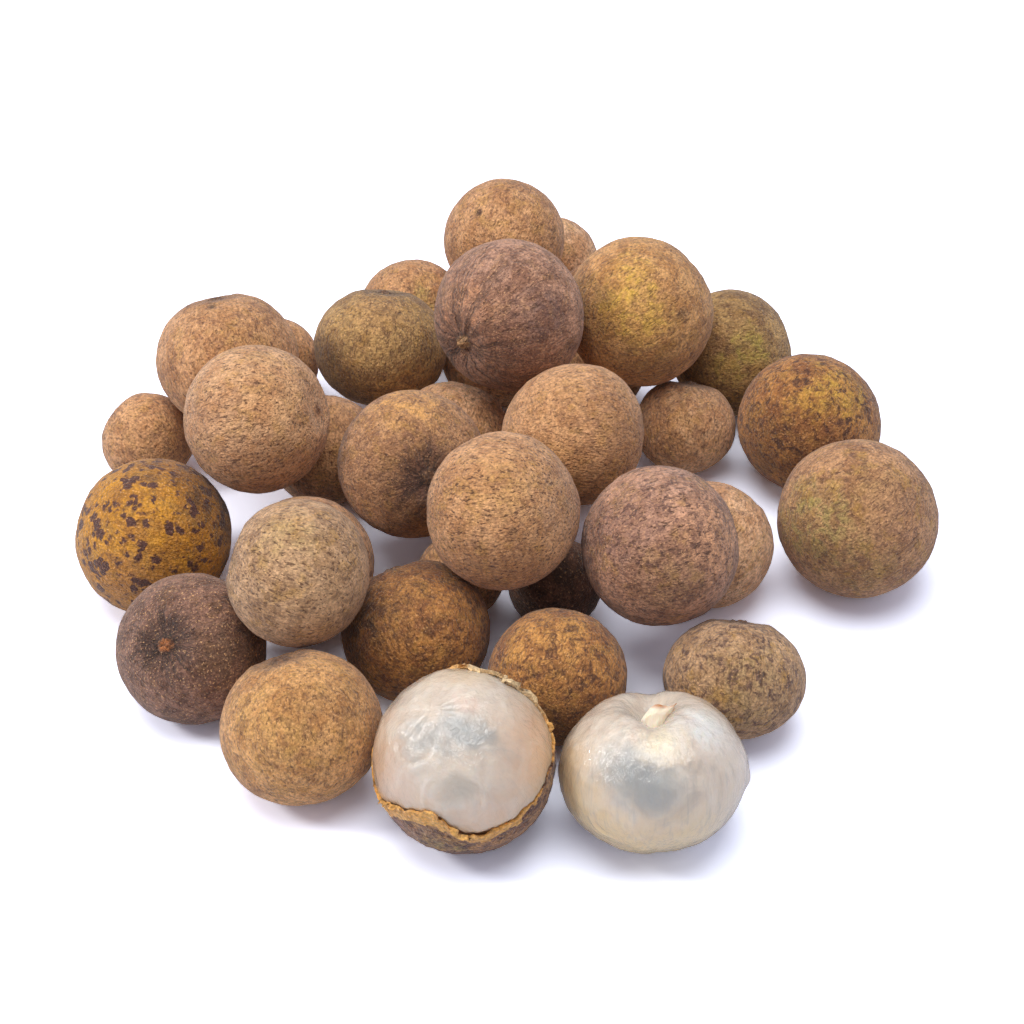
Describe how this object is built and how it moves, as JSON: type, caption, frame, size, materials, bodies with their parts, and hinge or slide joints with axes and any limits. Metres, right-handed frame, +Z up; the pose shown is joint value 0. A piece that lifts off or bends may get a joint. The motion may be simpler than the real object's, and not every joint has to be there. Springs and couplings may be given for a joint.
{
  "type": "longan bunch",
  "caption": "Heaped bunch of round brown longan fruits, with one half-peeled and one fully peeled fruit showing translucent white flesh at the front.",
  "frame": {"origin": "middle of the outline's base, on the surface that the heap lies on", "axes": "+Z up, the opened fruits are at the front, towards -Y, and +X is to the right as seen from the front"},
  "size_m": [0.1512, 0.1702, 0.049],
  "materials": {
    "skin": "dry leathery rind, fine-grained, mottled from tan and ochre to dark brown",
    "peel": "thin leathery peel, pebbled brown outside and smooth golden tan inside",
    "flesh": "wet translucent white flesh",
    "seed": "polished black-brown seed",
    "stalk_tissue": "matt cream fibre with a brown tip"
  },
  "bodies": {
    "root": {"opened_peel": "peel", "opened_flesh": "flesh", "opened_seed": "seed", "opened_stalk_tissue": "stalk_tissue", "peeled_flesh": "flesh", "peeled_seed": "seed", "peeled_stalk_tissue": "stalk_tissue", "fruit_01": "skin", "fruit_02": "skin", "fruit_03": "skin", "fruit_04": "skin", "fruit_05": "skin", "fruit_06": "skin", "fruit_07": "skin", "fruit_08": "skin", "fruit_09": "skin", "fruit_10": "skin", "fruit_11": "skin", "fruit_12": "skin", "fruit_13": "skin", "fruit_14": "skin", "fruit_15": "skin", "fruit_16": "skin", "fruit_17": "skin", "fruit_18": "skin", "fruit_19": "skin", "fruit_20": "skin", "fruit_21": "skin", "fruit_22": "skin", "fruit_23": "skin", "fruit_24": "skin", "fruit_25": "skin", "fruit_26": "skin", "fruit_27": "skin", "fruit_28": "skin", "fruit_29": "skin", "fruit_30": "skin", "fruit_31": "skin", "fruit_32": "skin", "fruit_33": "skin", "fruit_34": "skin", "fruit_35": "skin", "fruit_36": "skin"}
  },
  "joints": []
}
